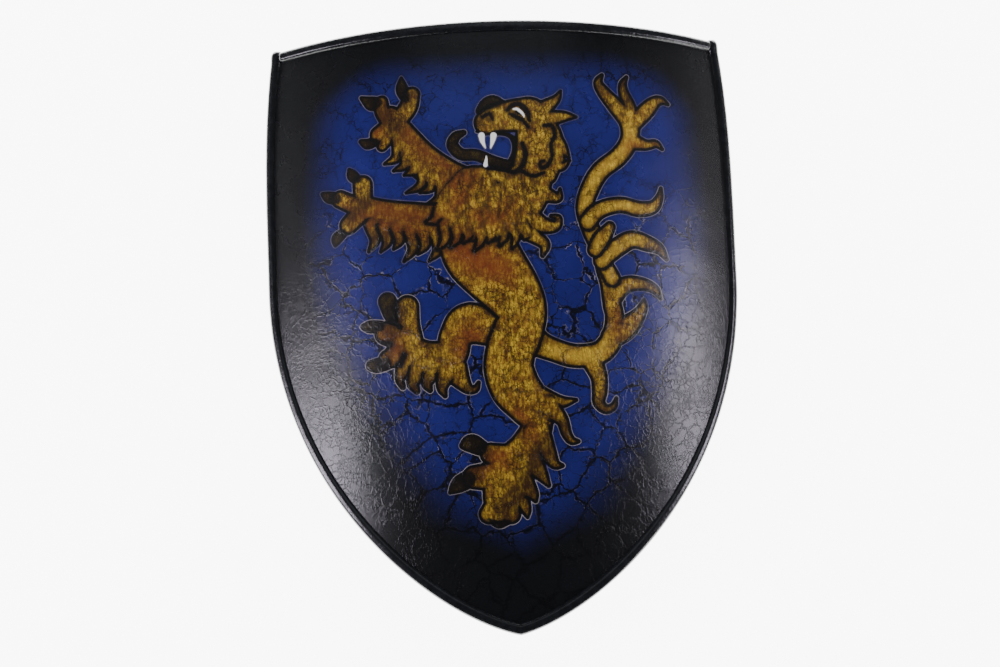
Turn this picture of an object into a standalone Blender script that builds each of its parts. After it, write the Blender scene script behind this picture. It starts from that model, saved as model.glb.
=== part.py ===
"""Heater shield: a foam board rolled about its long axis, a raised rim strip round its edge,
and a forearm strap and a grip strap screwed to its back.

The shield lies as it rests when loose, face up on its two side rims, with the top edge
towards +Y and the tip towards -Y. Board and rims are drawn flat first, as a maker cuts them:
X is the distance across the face, Y is the height above the two top corners and Z is the
distance in front of the middle of the board. roll() then bends them to the shield's curve.
"""

import math

import bmesh
import bpy
from mathutils import Matrix, Vector

# Driving dimensions, in metres and radians
BEND_RADIUS = 0.550            # of the middle of the board, about the long axis
CORNER_HALF_WIDTH = 0.3005     # flat pattern, centre line to rim line at the top corners
WIDEST_HALF_WIDTH = 0.3150
WIDEST_DROP = 0.305            # from the corners down to the widest place
UPPER_BULGE = 0.0186           # how far the side swells outwards just below the corner
LOWER_PULL_LENGTH = 0.228      # how long the side runs straight below the widest place
TIP_PULL_LENGTH = 0.119
TIP_ANGLE = math.radians(14)   # rise of the lower edge where it leaves the tip
TIP_DROP = 0.740               # from the corners down to the tip
TOP_RISE = 0.012               # of the top edge's middle over the corners

BOARD_THICKNESS = 0.010
RIM_WIDTH = 0.015
RIM_DEPTH = 0.020
RIM_END_PROUD = 0.003          # by which the side strip's ends stand past the top strip
FIT_GAP = 0.0003

FOREARM_STRAP_WIDTH = 0.050
FOREARM_STRAP_SPAN = 0.190     # over both feet, along the shield
FOREARM_STRAP_REACH = 0.058    # free height of the loop
FOREARM_STRAP_ACROSS = 0.115   # from the centre line, along the curve
GRIP_STRAP_WIDTH = 0.030
GRIP_STRAP_SPAN = 0.170
GRIP_STRAP_REACH = 0.045
GRIP_STRAP_ACROSS = -0.100
STRAP_DROP = 0.270             # from the corners down to the middle of both straps
STRAP_THICKNESS = 0.004
STRAP_FOOT = 0.026             # flat length under each screw pair

SCREW_HEAD_RADIUS = 0.0052
SCREW_HEAD_HEIGHT = 0.0028
SCREW_SHANK_RADIUS = 0.0020
SCREW_BITE = 0.0060            # depth of the shank in the board
SCREW_INSET = 0.013            # from the strap's end to the screw pair
FOREARM_SCREW_PITCH = 0.028    # between the two screws of a foot
GRIP_SCREW_PITCH = 0.015

# Counts that set how finely the curves are cut
BOARD_STRIPS = 25              # odd, so that the middle of the back is one flat facet
SIDE_STEPS = 18                # for each of the side's two curves
TOP_STEPS = 22
RIM_ARC_STEPS = 7
LOOP_STEPS = 20
SCREW_STEPS = 14
DOME_STEPS = 4

PARTS_NAME = "heater_shield"
CUTTERS_NAME = "cutters"

RUBBER_BLACK = (0.020, 0.022, 0.026, 1.0)
BOARD_BLUE = (0.012, 0.024, 0.130, 1.0)
LEATHER_BLACK = (0.024, 0.019, 0.016, 1.0)
STEEL_GREY = (0.42, 0.42, 0.43, 1.0)


def clear_scene():
    """Remove every object of the open file."""
    for item in list(bpy.data.objects):
        bpy.data.objects.remove(item, do_unlink=True)


def new_collection(name):
    """Return a fresh collection linked to the scene."""
    group = bpy.data.collections.new(name)
    bpy.context.scene.collection.children.link(group)
    return group


def new_material(name, colour, roughness, metallic=0.0):
    """Return a Principled BSDF material with plain values."""
    material = bpy.data.materials.new(name)
    material.use_nodes = True
    shader = material.node_tree.nodes["Principled BSDF"]
    shader.inputs["Base Color"].default_value = colour
    shader.inputs["Roughness"].default_value = roughness
    shader.inputs["Metallic"].default_value = metallic
    return material


def link_object(name, data, group, material=None):
    """Return a new object of this data in the collection."""
    item = bpy.data.objects.new(name, data)
    group.objects.link(item)
    if material:
        data.materials.append(material)
    return item


def bezier(start, pull_out, pull_in, end, steps):
    """Return points along a cubic curve, both ends included."""
    points = []
    for k in range(steps + 1):
        t = k / steps
        s = 1 - t
        weights = (s * s * s, 3 * s * s * t, 3 * s * t * t, t * t * t)
        corners = (start, pull_out, pull_in, end)
        x = sum(w * c[0] for w, c in zip(weights, corners))
        y = sum(w * c[1] for w, c in zip(weights, corners))
        points.append((x, y))
    return points


def side_line():
    """Return the rim's centre line on the +X side, from the top corner to the tip."""
    upper = bezier(
        (CORNER_HALF_WIDTH, 0),
        (CORNER_HALF_WIDTH + UPPER_BULGE, -WIDEST_DROP / 3),
        (WIDEST_HALF_WIDTH, -WIDEST_DROP * 2 / 3),
        (WIDEST_HALF_WIDTH, -WIDEST_DROP),
        SIDE_STEPS,
    )
    lower = bezier(
        (WIDEST_HALF_WIDTH, -WIDEST_DROP),
        (WIDEST_HALF_WIDTH, -WIDEST_DROP - LOWER_PULL_LENGTH),
        (TIP_PULL_LENGTH * math.cos(TIP_ANGLE), -TIP_DROP + TIP_PULL_LENGTH * math.sin(TIP_ANGLE)),
        (0, -TIP_DROP),
        SIDE_STEPS,
    )
    return upper + lower[1:]


def top_line():
    """Return the top rim's centre line from the -X corner to the +X corner, a shallow arch."""
    points = []
    for k in range(TOP_STEPS + 1):
        x = -1 + 2 * k / TOP_STEPS
        points.append((CORNER_HALF_WIDTH * x, TOP_RISE * (1 - x * x)))
    return points


def mirrored(points):
    """Return the points on the other side of the centre line, in the opposite order."""
    return [(-x, y) for x, y in reversed(points)]


def inset(outline, distance):
    """Return a closed outline, clockwise, moved inwards with its corners mitred."""
    moved = []
    count = len(outline)
    for k in range(count):
        here = Vector(outline[k])
        come = (here - Vector(outline[k - 1])).normalized()
        leave = (Vector(outline[(k + 1) % count]) - here).normalized()
        normal_come = Vector((come.y, -come.x))
        normal_leave = Vector((leave.y, -leave.x))
        mitre = (normal_come + normal_leave) / (1 + normal_come.dot(normal_leave))
        moved.append(tuple(here + mitre * distance))
    return moved


def flat_curve(name, points, group, closed):
    """Return a 2D curve object through the points."""
    curve = bpy.data.curves.new(name, "CURVE")
    curve.dimensions = "2D"
    spline = curve.splines.new("POLY")
    spline.points.add(len(points) - 1)
    for point, (x, y) in zip(spline.points, points):
        point.co = (x, y, 0, 1)
    spline.use_cyclic_u = closed
    return link_object(name, curve, group)


def mesh_of(item, group, material):
    """Replace a curve object by a mesh object of the same name and return it."""
    name = item.name
    bpy.context.view_layer.update()
    graph = bpy.context.evaluated_depsgraph_get()
    mesh = bpy.data.meshes.new_from_object(item.evaluated_get(graph))
    place = item.matrix_world.copy()
    bpy.data.objects.remove(item, do_unlink=True)
    work = bmesh.new()
    work.from_mesh(mesh)
    bmesh.ops.remove_doubles(work, verts=work.verts, dist=1e-6)
    bmesh.ops.recalc_face_normals(work, faces=work.faces)
    work.to_mesh(mesh)
    work.free()
    mesh.materials.clear()
    made = link_object(name, mesh, group, material)
    made.matrix_world = place
    return made


def cut_off(mesh, point, normal):
    """Cut a closed mesh at a plane, drop the side that the normal points to and close the cut."""
    work = bmesh.new()
    work.from_mesh(mesh)
    everything = work.verts[:] + work.edges[:] + work.faces[:]
    cut = bmesh.ops.bisect_plane(
        work, geom=everything, dist=1e-6, plane_co=point, plane_no=normal, clear_outer=True
    )
    edges = [part for part in cut["geom_cut"] if isinstance(part, bmesh.types.BMEdge)]
    bmesh.ops.contextual_create(work, geom=edges)
    bmesh.ops.recalc_face_normals(work, faces=work.faces)
    work.to_mesh(mesh)
    work.free()


def cut_into_strips(mesh, half_width):
    """Split the faces along equal strips across X, so that the mesh can be rolled."""
    work = bmesh.new()
    work.from_mesh(mesh)
    for k in range(1, BOARD_STRIPS):
        x = half_width * (2 * k / BOARD_STRIPS - 1)
        everything = work.verts[:] + work.edges[:] + work.faces[:]
        bmesh.ops.bisect_plane(
            work, geom=everything, dist=1e-6, plane_co=(x, 0, 0), plane_no=(1, 0, 0)
        )
    work.to_mesh(mesh)
    work.free()


def rolled(point):
    """Return a flat pattern point on the shield's curve, whose axis is the Y axis."""
    turn = point.x / BEND_RADIUS
    reach = BEND_RADIUS + point.z
    return Vector((reach * math.sin(turn), point.y, reach * math.cos(turn)))


def roll(item):
    """Bend a mesh object from the flat pattern to the shield's curve."""
    for vertex in item.data.vertices:
        vertex.co = rolled(vertex.co)


def smooth(item, degrees=30):
    """Shade a round piece smooth and keep its sharp edges."""
    item.data.shade_smooth()
    item.data.set_sharp_from_angle(angle=math.radians(degrees))


def board_half_width():
    """Return the flat half width of the board at its widest, inside the rim strip."""
    return WIDEST_HALF_WIDTH - RIM_WIDTH / 2 - FIT_GAP


def make_board(group, material):
    """Make the board: the rim line's outline drawn in by half the strip, rolled."""
    right = side_line()
    outline = top_line()[:-1] + right + mirrored(right)[1:-1]
    item = flat_curve("board", inset(outline, RIM_WIDTH / 2 + FIT_GAP), group, closed=True)
    item.data.fill_mode = "BOTH"
    item.data.extrude = BOARD_THICKNESS / 2
    item = mesh_of(item, group, material)
    cut_into_strips(item.data, board_half_width())
    roll(item)
    smooth(item)
    return item


def rim_profile(group):
    """Return the strip's section: straight sides with a half circle at the front and back."""
    radius = RIM_WIDTH / 2
    straight = RIM_DEPTH / 2 - radius
    points = []
    for end in (1, -1):
        for k in range(RIM_ARC_STEPS + 1):
            turn = math.pi * k / RIM_ARC_STEPS
            points.append((end * radius * math.cos(turn), end * (straight + radius * math.sin(turn))))
    item = flat_curve("rim_section", points, group, closed=True)
    item.hide_render = True
    item.display_type = "WIRE"
    return item


def sweep_rim(name, line, profile, group, material):
    """Return the strip swept along a flat line, still unrolled."""
    item = flat_curve(name, line, group, closed=False)
    item.data.bevel_mode = "OBJECT"
    item.data.bevel_object = profile
    item.data.use_fill_caps = True
    return mesh_of(item, group, material)


def make_rims(group, cutters, material):
    """Make the strip round the sides and tip, and the top strip that butts between its ends."""
    profile = rim_profile(cutters)
    right = side_line()
    corner = Vector(right[0])
    along = (corner - Vector(right[1])).normalized()
    end = corner + along * (RIM_WIDTH / 2 + RIM_END_PROUD)
    right = [tuple(end)] + right
    side = sweep_rim("rim_side", right + mirrored(right)[1:], profile, group, material)
    roll(side)
    smooth(side)

    top = sweep_rim("rim_top", top_line(), profile, group, material)
    outward = Vector((along.y, -along.x, 0))
    for hand in (1, -1):
        normal = Vector((hand * outward.x, outward.y, 0))
        point = Vector((hand * corner.x, corner.y, 0)) - normal * (RIM_WIDTH / 2 + FIT_GAP)
        cut_off(top.data, point, normal)
    roll(top)
    smooth(top)
    return [side, top]


def strap_line(span, reach):
    """Return a strap's centre line, along and away from the board: foot, loop, foot.

    Between the feet the distance is half the reach times one minus a cosine, flattened at
    its top by a square root.
    """
    half = span / 2
    free = half - STRAP_FOOT
    middle = STRAP_THICKNESS / 2
    line = [(-half, middle)]
    for k in range(LOOP_STEPS + 1):
        t = k / LOOP_STEPS
        rise = math.sqrt(0.5 - 0.5 * math.cos(2 * math.pi * t)) ** 1.5
        line.append((free * (2 * t - 1), middle + reach * rise))
    line.append((half, middle))
    return line


def back_seat(width):
    """Return how far below the back's curve a flat foot of this width lies to clear it."""
    inner = BEND_RADIUS - BOARD_THICKNESS / 2
    facet = 2 * board_half_width() / BOARD_STRIPS
    return (width * width / 8 + facet * facet / 8) / inner + FIT_GAP


def back_frame(across, width):
    """Return the place on the back for a strap: X along the shield, Y away from the board."""
    turn = across / BEND_RADIUS
    away = Vector((-math.sin(turn), 0, -math.cos(turn)))
    along = Vector((0, 1, 0))
    sideways = along.cross(away)
    frame = Matrix((along, away, sideways)).transposed().to_4x4()
    inner = BEND_RADIUS - BOARD_THICKNESS / 2 - back_seat(width)
    frame.translation = Vector((0, -STRAP_DROP, 0)) - away * inner
    return frame


def make_strap(name, across, width, span, reach, group, cutters, material):
    """Make one strap: a ribbon bent along its line and thickened, with screw holes."""
    item = flat_curve(name, strap_line(span, reach), group, closed=False)
    item.data.fill_mode = "NONE"
    item.data.extrude = width / 2
    item = mesh_of(item, group, material)
    item.matrix_world = back_frame(across, width)
    wall = item.modifiers.new("wall", "SOLIDIFY")
    wall.thickness = STRAP_THICKNESS
    wall.offset = 0
    wall.use_even_offset = True
    drill(item, cutters)
    return item


def drill(item, cutters):
    """Cut the screw holes into an object."""
    holes = item.modifiers.new("screw holes", "BOOLEAN")
    holes.operation = "DIFFERENCE"
    holes.operand_type = "COLLECTION"
    holes.collection = cutters


def screw_mesh(material):
    """Return the mesh of a dome-headed screw, head towards +Z, seated at Z = 0."""
    mesh = bpy.data.meshes.new("strap_screw")
    work = bmesh.new()
    outline = []
    for k in range(DOME_STEPS + 1):
        turn = math.pi / 2 * k / DOME_STEPS
        outline.append((SCREW_HEAD_RADIUS * math.sin(turn), SCREW_HEAD_HEIGHT * math.cos(turn)))
    length = STRAP_THICKNESS + SCREW_BITE
    outline += [(SCREW_SHANK_RADIUS, 0), (SCREW_SHANK_RADIUS, -length), (0, -length)]
    corners = [work.verts.new((x, 0, z)) for x, z in outline]
    for first, second in zip(corners, corners[1:]):
        work.edges.new((first, second))
    bmesh.ops.spin(
        work, geom=work.verts[:] + work.edges[:], axis=(0, 0, 1), cent=(0, 0, 0),
        angle=2 * math.pi, steps=SCREW_STEPS, use_merge=True,
    )
    bmesh.ops.remove_doubles(work, verts=work.verts, dist=1e-6)
    bmesh.ops.recalc_face_normals(work, faces=work.faces)
    work.to_mesh(mesh)
    work.free()
    mesh.materials.append(material)
    return mesh


def make_hole_cutter(place, cutters):
    """Make one cylinder that clears a screw's shank through the strap and into the board."""
    depth = STRAP_THICKNESS + SCREW_BITE + FIT_GAP
    above = 2 * FIT_GAP
    bpy.ops.mesh.primitive_cylinder_add(
        vertices=SCREW_STEPS, radius=SCREW_SHANK_RADIUS + FIT_GAP, depth=depth + above
    )
    item = bpy.context.object
    item.name = "screw_hole"
    item.matrix_world = place @ Matrix.Translation((0, 0, (above - depth) / 2))
    for group in list(item.users_collection):
        group.objects.unlink(item)
    cutters.objects.link(item)
    item.hide_render = True
    item.display_type = "WIRE"
    return item


def screw_places(across, width, span, pitch):
    """Return the four places of a strap's screws: +Z away from the board, on the strap."""
    frame = back_frame(across, width)
    places = []
    for end in (-1, 1):
        for side in (-1, 1):
            local = Vector((end * (span / 2 - SCREW_INSET), STRAP_THICKNESS + FIT_GAP, side * pitch / 2))
            places.append(frame @ Matrix.Translation(local) @ Matrix.Rotation(-math.pi / 2, 4, "X"))
    return places


def settle(items, base):
    """Lower the shield onto its lowest points and centre it over the origin."""
    bpy.context.view_layer.update()
    corners = [item.matrix_world @ Vector(c) for item in items for c in item.bound_box]
    low = Vector([min(c[k] for c in corners) for k in range(3)])
    high = Vector([max(c[k] for c in corners) for k in range(3)])
    base.location = (-(low.x + high.x) / 2, -(low.y + high.y) / 2, -low.z)


def main():
    """Build the shield and lay it down."""
    clear_scene()
    parts = new_collection(PARTS_NAME)
    cutters = new_collection(CUTTERS_NAME)
    guides = new_collection("guides")

    skin = new_material("latex skin", BOARD_BLUE, 0.35)
    rim_skin = new_material("rim latex", RUBBER_BLACK, 0.30)
    leather = new_material("leather", LEATHER_BLACK, 0.55)
    steel = new_material("screw steel", STEEL_GREY, 0.35, 1.0)

    base = bpy.data.objects.new("lying_pose", None)
    guides.objects.link(base)

    straps = (
        ("forearm_strap", FOREARM_STRAP_ACROSS, FOREARM_STRAP_WIDTH, FOREARM_STRAP_SPAN,
         FOREARM_STRAP_REACH, FOREARM_SCREW_PITCH),
        ("grip_strap", GRIP_STRAP_ACROSS, GRIP_STRAP_WIDTH, GRIP_STRAP_SPAN,
         GRIP_STRAP_REACH, GRIP_SCREW_PITCH),
    )
    board = make_board(parts, skin)
    rims = make_rims(parts, guides, rim_skin)
    made = [board] + rims
    screw = screw_mesh(steel)
    for name, across, width, span, reach, pitch in straps:
        made.append(make_strap(name, across, width, span, reach, parts, cutters, leather))
        for number, place in enumerate(screw_places(across, width, span, pitch), 1):
            item = link_object(name.replace("strap", "screw") + "_" + str(number), screw, parts)
            item.matrix_world = place
            smooth(item)
            made.append(item)
            made.append(make_hole_cutter(place, cutters))
    drill(board, cutters)

    settle(rims, base)
    for item in made:
        item.parent = base
    bpy.context.view_layer.update()


main()
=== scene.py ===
"""Painted heater shield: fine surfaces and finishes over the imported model.

The sizes and colours are properties, each group of pieces is an operator, and the panel in
the 3D view's sidebar lists them all.
"""

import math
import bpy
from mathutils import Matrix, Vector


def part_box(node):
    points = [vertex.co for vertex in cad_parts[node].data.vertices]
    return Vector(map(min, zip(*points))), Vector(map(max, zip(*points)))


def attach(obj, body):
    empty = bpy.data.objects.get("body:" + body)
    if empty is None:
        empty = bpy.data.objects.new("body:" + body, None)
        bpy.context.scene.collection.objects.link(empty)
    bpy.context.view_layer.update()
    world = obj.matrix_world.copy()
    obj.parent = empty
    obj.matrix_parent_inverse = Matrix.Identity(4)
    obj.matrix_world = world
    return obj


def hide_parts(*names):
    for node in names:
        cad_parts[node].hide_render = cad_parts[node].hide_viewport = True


bl_info = {
    "name": "Heater shield",
    "version": (1, 0, 0),
    "blender": (4, 5, 0),
    "location": "View3D > Sidebar > Shield",
    "description": "Builds a painted heater shield with its rim, straps and studio",
    "category": "Add Mesh",
}

import bpy
import numpy as np
from mathutils import Matrix, Vector

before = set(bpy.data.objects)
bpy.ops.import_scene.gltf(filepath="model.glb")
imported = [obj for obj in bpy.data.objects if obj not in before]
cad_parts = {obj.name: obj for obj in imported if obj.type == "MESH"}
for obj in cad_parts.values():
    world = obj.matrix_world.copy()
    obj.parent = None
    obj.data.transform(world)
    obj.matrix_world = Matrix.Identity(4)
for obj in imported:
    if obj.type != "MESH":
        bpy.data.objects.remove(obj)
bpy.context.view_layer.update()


def length(name, description, default):
    """A length in metres that a user may change."""
    return bpy.props.FloatProperty(name=name, description=description, default=default, unit="LENGTH")


def paint_colour(name, description, default):
    """A colour that a user may change."""
    return bpy.props.FloatVectorProperty(
        name=name, description=description, default=default, subtype="COLOR", size=3)


class ShieldShape(bpy.types.PropertyGroup):
    """Real sizes of the straps, and of the board and rim as they are cut before rolling."""

    bend_radius: length("Bend radius", "Of the middle of the board", 0.550)
    corner_half_width: length("Corner half width", "Centre line to rim line at the top", 0.3005)
    widest_half_width: length("Widest half width", "Centre line to rim line at the widest place", 0.3150)
    widest_drop: length("Widest drop", "From the corners down to the widest place", 0.305)
    upper_bulge: length("Upper bulge", "Swelling of the side below the corner", 0.0186)
    lower_pull: length("Lower pull", "How long the side runs on below the widest place", 0.228)
    tip_pull: length("Tip pull", "How long the lower edge keeps the tip's direction", 0.119)
    tip_angle: bpy.props.FloatProperty(
        name="Tip angle", description="Rise of the lower edge where it leaves the tip",
        default=math.radians(14), subtype="ANGLE")
    tip_drop: length("Tip drop", "From the corners down to the tip", 0.740)
    top_rise: length("Top rise", "Of the top edge's middle over the corners", 0.012)
    board_thickness: length("Board thickness", "Of the foam board", 0.010)
    rim_width: length("Rim width", "Across the strip", 0.015)
    rim_depth: length("Rim depth", "Through the strip, front to back", 0.020)
    rim_end_proud: length("Rim end", "By which the side strip passes the top strip", 0.003)
    fit_gap: length("Fit gap", "Between touching pieces", 0.0003)
    strap_drop: length("Strap drop", "From the corners down to the middle of the straps", 0.270)
    strap_thickness: length("Strap thickness", "Of both straps", 0.004)
    strap_foot: length("Strap foot", "Flat length at each end of a strap", 0.026)
    forearm_width: length("Forearm strap width", "Across the strap", 0.050)
    forearm_span: length("Forearm strap span", "Over both feet", 0.190)
    forearm_reach: length("Forearm strap reach", "Free height of the loop", 0.058)
    forearm_across: length("Forearm strap place", "From the centre line", 0.115)
    grip_width: length("Grip strap width", "Across the strap", 0.030)
    grip_span: length("Grip strap span", "Over both feet", 0.170)
    grip_reach: length("Grip strap reach", "Free height of the loop", 0.045)
    grip_across: length("Grip strap place", "From the centre line", -0.100)


class ShieldPaint(bpy.types.PropertyGroup):
    """Colours of the paint, the latex and the fittings."""

    blue: paint_colour("Blue", "Middle of the field", (0.0085, 0.0105, 0.1050))
    black: paint_colour("Black", "Airbrushed edges and cracks", (0.0036, 0.0040, 0.0048))
    gold: paint_colour("Gold", "Light parts of the lion", (0.5000, 0.3250, 0.0310))
    ochre: paint_colour("Ochre", "Middle parts of the lion", (0.2100, 0.1080, 0.0150))
    rust: paint_colour("Rust", "Reddish shading of the lion", (0.1350, 0.0270, 0.0090))
    umber: paint_colour("Umber", "Dark shading at the lion's edges", (0.0260, 0.0120, 0.0050))
    ink: paint_colour("Ink", "Outline, claws and tongue", (0.0045, 0.0040, 0.0038))
    # Painted highlight: pale colour for the thin line round the lion's outline, standing in for light
    # caught by the decal's edge, and for the glints along cracks
    painted_highlight: paint_colour("Pale", "Thin line round the outline, and glints", (0.2300, 0.2050, 0.2050))
    white: paint_colour("White", "Teeth and eye", (0.7800, 0.7800, 0.7800))
    leather: paint_colour("Leather", "Straps on the back", (0.0300, 0.0200, 0.0150))
    thread: paint_colour("Thread", "Stitching of the straps", (0.2500, 0.2100, 0.1500))
    steel: paint_colour("Steel", "Screws", (0.5500, 0.5500, 0.5600))


class ShieldStage(bpy.types.PropertyGroup):
    """Camera and lights."""

    lens: bpy.props.FloatProperty(name="Lens", description="Focal length in mm", default=50.0)
    distance: length("Distance", "Camera to the point it looks at", 1.814)
    aside: bpy.props.FloatProperty(
        name="Aside", description="Camera's angle to the right of straight above",
        default=math.radians(-2.3), subtype="ANGLE")
    tipwards: bpy.props.FloatProperty(
        name="Tipwards", description="Camera's angle towards the tip from straight above",
        default=math.radians(4.6), subtype="ANGLE")
    roll: bpy.props.FloatProperty(
        name="Roll", description="Camera's roll about its view", default=math.radians(-2.2),
        subtype="ANGLE")
    aim_across: length("Aim across", "Point looked at, from the centre line", -0.008)
    aim_drop: length("Aim drop", "Point looked at, down from the corners", 0.370)
    box_power: bpy.props.FloatProperty(
        name="Soft boxes", description="Power in watts of the light beyond the top edge", default=76.0)
    strip_power: bpy.props.FloatProperty(
        name="Strips", description="Power in watts that the mirrored lights are multiples of",
        default=8.0)
    floor_glow: bpy.props.FloatProperty(
        name="Floor glow", description="Light given by the floor itself", default=8.0)


# Surfaces


def bezier(start, pull_out, pull_in, end, steps):
    """Points (1-t)^3 A + 3(1-t)^2 t B + 3(1-t) t^2 C + t^3 D for t from 0 to 1."""
    t = np.linspace(0, 1, steps + 1)[:, None]
    s = 1 - t
    return (s ** 3 * np.array(start) + 3 * s * s * t * np.array(pull_out)
            + 3 * s * t * t * np.array(pull_in) + t ** 3 * np.array(end))


def side_line(p, steps):
    """Rim line on the +X side, from the top corner to the tip: two cubic curves."""
    tip_in = (p.tip_pull * math.cos(p.tip_angle), -p.tip_drop + p.tip_pull * math.sin(p.tip_angle))
    upper = bezier((p.corner_half_width, 0), (p.corner_half_width + p.upper_bulge, -p.widest_drop / 3),
                   (p.widest_half_width, -p.widest_drop * 2 / 3),
                   (p.widest_half_width, -p.widest_drop), steps)
    lower = bezier((p.widest_half_width, -p.widest_drop),
                   (p.widest_half_width, -p.widest_drop - p.lower_pull), tip_in,
                   (0, -p.tip_drop), steps)
    return np.vstack([upper, lower[1:]])


def top_line(p, steps):
    """Top rim line from the -X corner to the +X corner: rise times one minus x squared."""
    x = np.linspace(-1, 1, steps + 1)
    return np.stack([p.corner_half_width * x, p.top_rise * (1 - x * x)], 1)


def directions(line):
    """Unit tangents of a line, by central differences."""
    step = np.gradient(line, axis=0)
    return step / np.linalg.norm(step, axis=1)[:, None]


def corner_line(p):
    """Place of the rim's top corners along the frame's Y."""
    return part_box("rim_top")[1][1] - p.top_rise - p.rim_width / 2


def bend_axis(p):
    """Height of the axis that the board is rolled about."""
    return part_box("board")[1][2] - p.bend_radius - p.board_thickness / 2


def rolled(p, x, y, z):
    """Flat pattern point to frame: turn x/R about the long axis at radius R+z, then down by
    the height of that axis, and along by the top edge's place.
    """
    turn = x / p.bend_radius
    reach = p.bend_radius + z
    return np.stack([reach * np.sin(turn), y + corner_line(p), reach * np.cos(turn) + bend_axis(p)], -1)


def make_mesh(name, points, faces, material, nodes, sharp=35):
    """Make a piece from an array of points and lists of faces, and put it in the scene."""
    mesh = bpy.data.meshes.new(name)
    mesh.from_pydata(points.reshape(-1, 3).tolist(), [], faces)
    mesh.validate()
    mesh.materials.append(material)
    item = bpy.data.objects.new(name, mesh)
    bpy.context.scene.collection.objects.link(item)
    mesh.shade_smooth()
    mesh.set_sharp_from_angle(angle=math.radians(sharp))
    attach(item, "root")
    if nodes:
        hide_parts(*nodes)
    return item


def grid_faces(rows, columns, first=0, flip=False, wrap=False):
    """Quads between the points of a grid whose rows follow each other from index first."""
    r, c = np.meshgrid(np.arange(rows - 1), np.arange(columns - (not wrap)), indexing="ij")
    right = (c + 1) % columns
    quad = np.stack([r * columns + c, r * columns + right, (r + 1) * columns + right,
                     (r + 1) * columns + c], -1).reshape(-1, 4) + first
    return (quad[:, ::-1] if flip else quad).tolist()


def run_along(line):
    """Length along a line from its start to each of its points."""
    return np.concatenate([[0], np.cumsum(np.linalg.norm(np.diff(line, axis=0), axis=1))])


def add_attribute(item, name, values):
    """Store one number for each vertex."""
    layer = item.data.attributes.new(name, "FLOAT", "POINT")
    layer.data.foreach_set("value", np.ascontiguousarray(values, np.float32).ravel())


# The blue field: how far it reaches from the centre line at each drop below the corners

BLUE_EDGE = [(0.00, 0.243), (0.15, 0.241), (0.25, 0.242), (0.31, 0.237), (0.36, 0.224),
             (0.41, 0.200), (0.46, 0.172), (0.50, 0.147), (0.54, 0.118), (0.58, 0.080),
             (0.60, 0.048), (0.62, 0.000), (0.66, -0.100), (0.74, -0.300)]
BLUE_SHIFT = 0.006
BLUE_TOP_DROP = 0.033
BLUE_TOP_FADE = 0.060
BLUE_FADE = 0.080
BLUE_CORNER = 0.11
UPPER_BLACK = 0.18
UPPER_BLACK_DROP = 0.22
UPPER_BLACK_FADE = 0.15
CRACKED_DROP = 0.18
CRACKED_FADE = 0.26


# The lion, drawn on squared paper: one step is LION_STEP, x to the right and y up


LION_STEP = 0.00125
LION_CENTRE = (-0.0130, -0.3708)
LION_TURN = math.radians(2.1)
OUTLINE_STEPS = 2.3
FAR = 90.0
REACH = 22


def smooth_path(points, per_span=7):
    """Catmull-Rom curve through rows (x, y, radius), ends doubled."""
    q = np.array(points, float)
    if len(q) < 3:
        return q
    q = np.vstack([2 * q[0] - q[1], q, 2 * q[-1] - q[-2]])
    t = np.linspace(0, 1, per_span, endpoint=False)[:, None]
    spans = []
    for a, b, c, d in zip(q, q[1:], q[2:], q[3:]):
        spans.append(0.5 * (2 * b + (c - a) * t + (2 * a - 5 * b + 4 * c - d) * t * t
                            + (3 * b - a - 3 * c + d) * t ** 3))
    path = np.vstack(spans + [q[-2:-1]])
    path[:, 2] = np.maximum(path[:, 2], 0.3)
    return path


def stroke_distance(at, points):
    """Signed distance to a tapering stroke: distance to each short run less its radius.

    It is worked out within REACH of the stroke, and is FAR elsewhere.
    """
    path = smooth_path(points)
    low = (path[:, :2] - path[:, 2:]).min(0) - REACH
    high = (path[:, :2] + path[:, 2:]).max(0) + REACH
    near = np.flatnonzero(((at > low) & (at < high)).all(1))
    found = np.full(len(at), FAR)
    if not len(near):
        return found
    here = at[near]
    best = np.full(len(near), FAR)
    for start, end in zip(path, path[1:]):
        run = end[:2] - start[:2]
        length = max(float(run @ run), 1e-9)
        t = np.clip((here - start[:2]) @ run / length, 0, 1)
        gap = here - start[:2] - t[:, None] * run
        radius = start[2] + t * (end[2] - start[2])
        best = np.minimum(best, np.hypot(gap[:, 0], gap[:, 1]) - radius)
    found[near] = best
    return found


def union_distance(at, strokes):
    """Signed distance to several strokes drawn as one shape."""
    found = np.full(len(at), FAR)
    for points in strokes:
        found = np.minimum(found, stroke_distance(at, points))
    return found


def locks(root_start, root_end, tip_start, tip_end, count, root_radius, hook=0.25):
    """Tufts of fur: strokes from a line of roots to a line of tips, bent like a hook."""
    strokes = []
    for k in range(count):
        t = k / (count - 1)
        longer = 1 + 0.22 * math.sin(2.4 * k + 0.6)
        root = np.array(root_start) * (1 - t) + np.array(root_end) * t
        tip = np.array(tip_start) * (1 - t) + np.array(tip_end) * t
        tip = root + (tip - root) * longer
        aside = np.array((-(tip - root)[1], (tip - root)[0])) * hook
        middle = root * 0.45 + tip * 0.55 + aside
        strokes.append([(*root, root_radius), (*middle, root_radius * 0.75), (*tip, 1.8)])
    return strokes


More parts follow.
